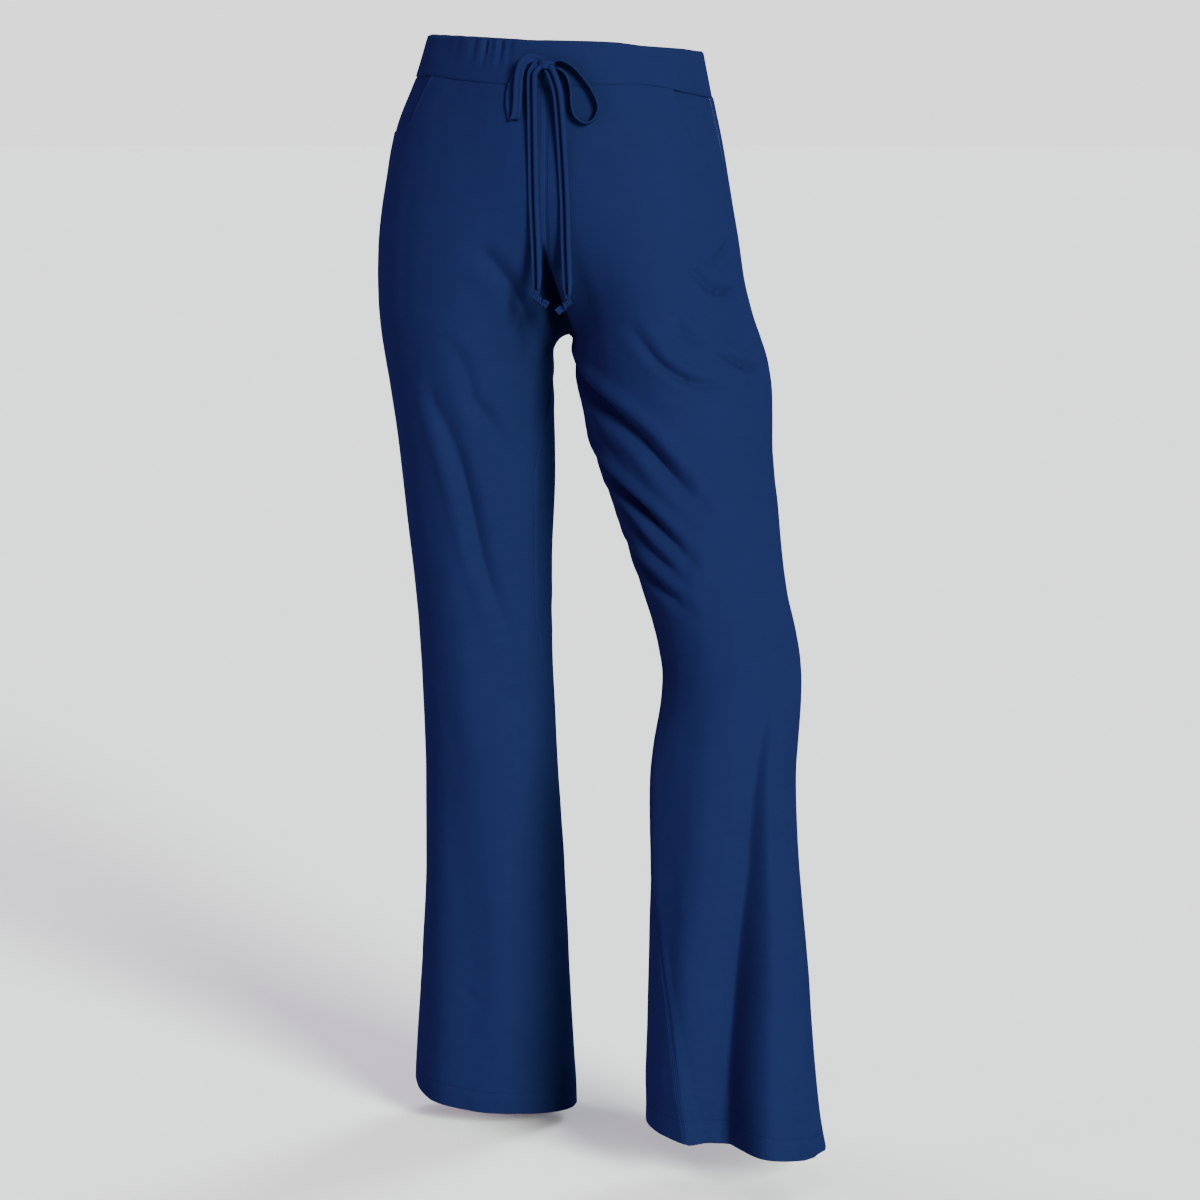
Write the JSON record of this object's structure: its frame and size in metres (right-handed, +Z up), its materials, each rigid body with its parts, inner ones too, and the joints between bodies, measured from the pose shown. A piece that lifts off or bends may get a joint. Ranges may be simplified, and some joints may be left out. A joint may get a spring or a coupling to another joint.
{
  "type": "medical scrub trousers",
  "caption": "Flared scrub trousers in worn form, with a flat waistband, a tied drawstring bow, curved hip pockets and open hems.",
  "frame": {"origin": "middle of the waist opening at the band's top edge, where the wearer's waist holds the trousers", "axes": "+Z up towards the waist opening, -Y the front of the garment, +X the wearer's left"},
  "size_m": [0.476, 0.3833, 1.0803],
  "materials": {
    "poplin": "navy blue cotton and polyester poplin, fine plain weave with a slight sheen",
    "drawstring": "folded and stitched strap of the same navy blue poplin"
  },
  "bodies": {
    "root": {"waistband_front": "poplin", "waistband_back": "poplin", "front_right": "poplin", "back_right": "poplin", "front_left": "poplin", "back_left": "poplin", "pocket_facing_right": "poplin", "pocket_facing_left": "poplin", "drawstring_tail_right": "drawstring", "drawstring_tail_left": "drawstring", "drawstring_loop_right": "drawstring", "drawstring_loop_left": "drawstring", "drawstring_end_right": "drawstring", "drawstring_end_left": "drawstring", "drawstring_knot": "drawstring"}
  },
  "joints": []
}
